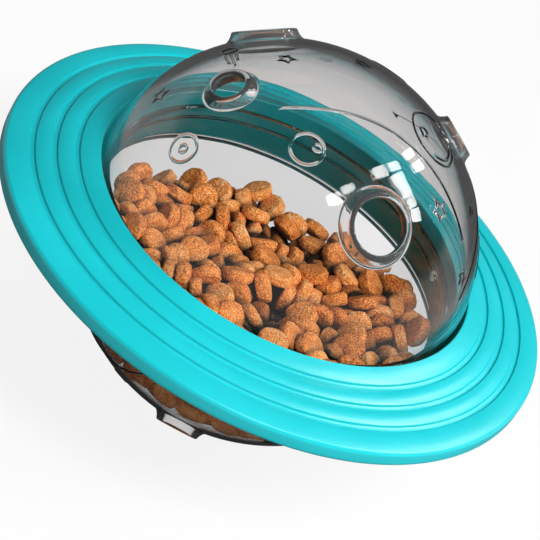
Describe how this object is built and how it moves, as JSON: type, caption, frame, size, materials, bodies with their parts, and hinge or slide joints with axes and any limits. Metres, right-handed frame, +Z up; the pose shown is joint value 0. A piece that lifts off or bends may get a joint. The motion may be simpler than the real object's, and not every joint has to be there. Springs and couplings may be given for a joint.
{
  "type": "treat ball",
  "caption": "Clear two-shell treat ball with a saucer ring round its equator, raised round treat outlets and a heap of kibble inside; the top twists and lifts off with the ring",
  "frame": {"origin": "contact point of the ball on its floor, at the lower shell's pole, on the ball's axis", "axes": "+Z up along the ball's axis, square to the saucer ring; -Y is the side the picture looks at"},
  "size_m": [0.185, 0.185, 0.1292],
  "materials": {
    "clear_shell": "gloss",
    "ring_rubber": "satin",
    "kibble": "matte"
  },
  "bodies": {
    "lower": {"lower_shell": "clear_shell", "kibble_bed": "kibble", "kibble_top_layer": "kibble"},
    "ring": {"saucer_ring": "ring_rubber"},
    "upper": {"upper_shell": "clear_shell"}
  },
  "joints": [
    {"name": "lift_off", "type": "slide", "parent": "lower", "child": "ring", "axis": [0, 0, 1], "range_m": [0, 0.08]},
    {"name": "twist", "type": "hinge", "parent": "ring", "child": "upper", "pos_m": [0, 0, 0.0646], "axis": [0, 0, 1], "range_deg": [0, 90]}
  ]
}
